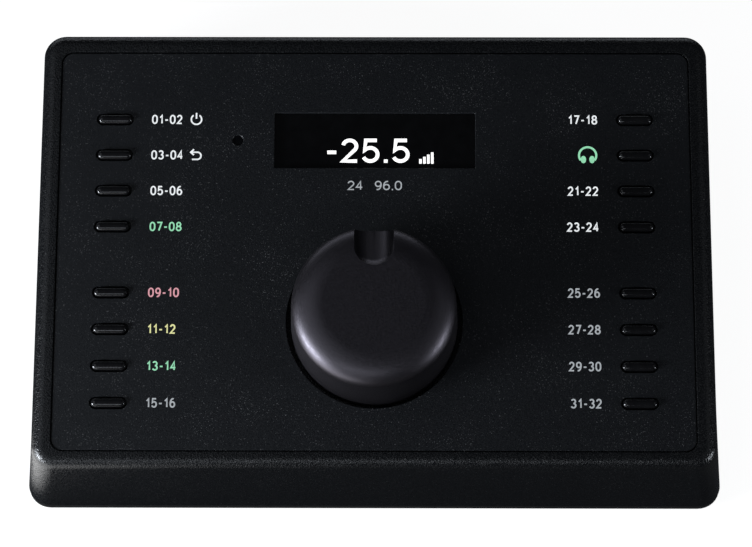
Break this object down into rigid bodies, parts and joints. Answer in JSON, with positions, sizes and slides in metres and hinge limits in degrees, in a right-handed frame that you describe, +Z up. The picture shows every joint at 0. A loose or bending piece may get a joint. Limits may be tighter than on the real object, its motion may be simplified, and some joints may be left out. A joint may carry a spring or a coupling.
{
  "type": "studio monitor controller",
  "caption": "Low wedge-shaped desktop controller with a large volume knob, push-buttons at both sides, a display window and rear sockets.",
  "frame": {"origin": "on the desk, under the middle of the case", "axes": "+X to the user's right, +Y to the back, +Z up"},
  "size_m": [0.184, 0.13, 0.0562],
  "materials": {
    "case_paint": "fine-grained black paint",
    "panel_paint": "fine-grained black paint",
    "base_plastic": "matt black",
    "display_glass": "dark glossy window",
    "sensor_lens": "dark infrared window",
    "light_guide": "clear moulded",
    "circuit_board": "solder resist",
    "dark_plastic": "moulded",
    "steel": "plated",
    "black_steel": "blackened",
    "brass": "turned",
    "knob_metal": "blasted and anodised, satin",
    "ribbon": "flat ribbon",
    "button_gloss": "glossy black",
    "rubber": "matt"
  },
  "bodies": {
    "case": {"top_case": "case_paint", "base_plate": "base_plastic", "front_panel": "panel_paint", "display_glass": "display_glass", "display_module": "circuit_board", "sensor_lens": "sensor_lens", "sensor_receiver": "dark_plastic", "legend_guide_left": "light_guide", "legend_guide_right": "light_guide", "legend_lamps": "light_guide", "control_board": "circuit_board", "control_screws": "steel", "button_switches": "dark_plastic", "encoder_body": "steel", "encoder_nut": "steel", "main_board": "circuit_board", "main_chips": "dark_plastic", "capacitors": "steel", "board_standoffs": "brass", "board_screws": "steel", "ribbon_cable": "ribbon", "rear_plate": "base_plastic", "headphone_jack": "dark_plastic", "line_jacks": "dark_plastic", "jack_nuts": "steel", "network_sockets": "steel", "usb_socket": "steel", "power_socket": "dark_plastic", "base_screws": "black_steel", "rubber_feet": "rubber"},
    "knob": {"volume_knob": "knob_metal", "knob_sleeve": "brass", "encoder_shaft": "steel"},
    "button_left_1": {"button_left_1": "button_gloss"},
    "button_left_2": {"button_left_2": "button_gloss"},
    "button_left_3": {"button_left_3": "button_gloss"},
    "button_left_4": {"button_left_4": "button_gloss"},
    "button_left_5": {"button_left_5": "button_gloss"},
    "button_left_6": {"button_left_6": "button_gloss"},
    "button_left_7": {"button_left_7": "button_gloss"},
    "button_left_8": {"button_left_8": "button_gloss"},
    "button_right_1": {"button_right_1": "button_gloss"},
    "button_right_2": {"button_right_2": "button_gloss"},
    "button_right_3": {"button_right_3": "button_gloss"},
    "button_right_4": {"button_right_4": "button_gloss"},
    "button_right_5": {"button_right_5": "button_gloss"},
    "button_right_6": {"button_right_6": "button_gloss"},
    "button_right_7": {"button_right_7": "button_gloss"},
    "button_right_8": {"button_right_8": "button_gloss"}
  },
  "joints": [
    {"name": "volume_turn", "type": "hinge", "parent": "case", "child": "knob", "pos_m": [0, -0.02528, 0.03279], "axis": [0, -0.2113, 0.9774], "continuous": true},
    {"name": "button_left_1_press", "type": "slide", "parent": "case", "child": "button_left_1", "axis": [0, 0.2113, -0.9774], "range_m": [0, 0.0006], "stiffness_N_per_m": 1500, "springref_m": -0.0003},
    {"name": "button_left_2_press", "type": "slide", "parent": "case", "child": "button_left_2", "axis": [0, 0.2113, -0.9774], "range_m": [0, 0.0006], "stiffness_N_per_m": 1500, "springref_m": -0.0003},
    {"name": "button_left_3_press", "type": "slide", "parent": "case", "child": "button_left_3", "axis": [0, 0.2113, -0.9774], "range_m": [0, 0.0006], "stiffness_N_per_m": 1500, "springref_m": -0.0003},
    {"name": "button_left_4_press", "type": "slide", "parent": "case", "child": "button_left_4", "axis": [0, 0.2113, -0.9774], "range_m": [0, 0.0006], "stiffness_N_per_m": 1500, "springref_m": -0.0003},
    {"name": "button_left_5_press", "type": "slide", "parent": "case", "child": "button_left_5", "axis": [0, 0.2113, -0.9774], "range_m": [0, 0.0006], "stiffness_N_per_m": 1500, "springref_m": -0.0003},
    {"name": "button_left_6_press", "type": "slide", "parent": "case", "child": "button_left_6", "axis": [0, 0.2113, -0.9774], "range_m": [0, 0.0006], "stiffness_N_per_m": 1500, "springref_m": -0.0003},
    {"name": "button_left_7_press", "type": "slide", "parent": "case", "child": "button_left_7", "axis": [0, 0.2113, -0.9774], "range_m": [0, 0.0006], "stiffness_N_per_m": 1500, "springref_m": -0.0003},
    {"name": "button_left_8_press", "type": "slide", "parent": "case", "child": "button_left_8", "axis": [0, 0.2113, -0.9774], "range_m": [0, 0.0006], "stiffness_N_per_m": 1500, "springref_m": -0.0003},
    {"name": "button_right_1_press", "type": "slide", "parent": "case", "child": "button_right_1", "axis": [0, 0.2113, -0.9774], "range_m": [0, 0.0006], "stiffness_N_per_m": 1500, "springref_m": -0.0003},
    {"name": "button_right_2_press", "type": "slide", "parent": "case", "child": "button_right_2", "axis": [0, 0.2113, -0.9774], "range_m": [0, 0.0006], "stiffness_N_per_m": 1500, "springref_m": -0.0003},
    {"name": "button_right_3_press", "type": "slide", "parent": "case", "child": "button_right_3", "axis": [0, 0.2113, -0.9774], "range_m": [0, 0.0006], "stiffness_N_per_m": 1500, "springref_m": -0.0003},
    {"name": "button_right_4_press", "type": "slide", "parent": "case", "child": "button_right_4", "axis": [0, 0.2113, -0.9774], "range_m": [0, 0.0006], "stiffness_N_per_m": 1500, "springref_m": -0.0003},
    {"name": "button_right_5_press", "type": "slide", "parent": "case", "child": "button_right_5", "axis": [0, 0.2113, -0.9774], "range_m": [0, 0.0006], "stiffness_N_per_m": 1500, "springref_m": -0.0003},
    {"name": "button_right_6_press", "type": "slide", "parent": "case", "child": "button_right_6", "axis": [0, 0.2113, -0.9774], "range_m": [0, 0.0006], "stiffness_N_per_m": 1500, "springref_m": -0.0003},
    {"name": "button_right_7_press", "type": "slide", "parent": "case", "child": "button_right_7", "axis": [0, 0.2113, -0.9774], "range_m": [0, 0.0006], "stiffness_N_per_m": 1500, "springref_m": -0.0003},
    {"name": "button_right_8_press", "type": "slide", "parent": "case", "child": "button_right_8", "axis": [0, 0.2113, -0.9774], "range_m": [0, 0.0006], "stiffness_N_per_m": 1500, "springref_m": -0.0003}
  ]
}
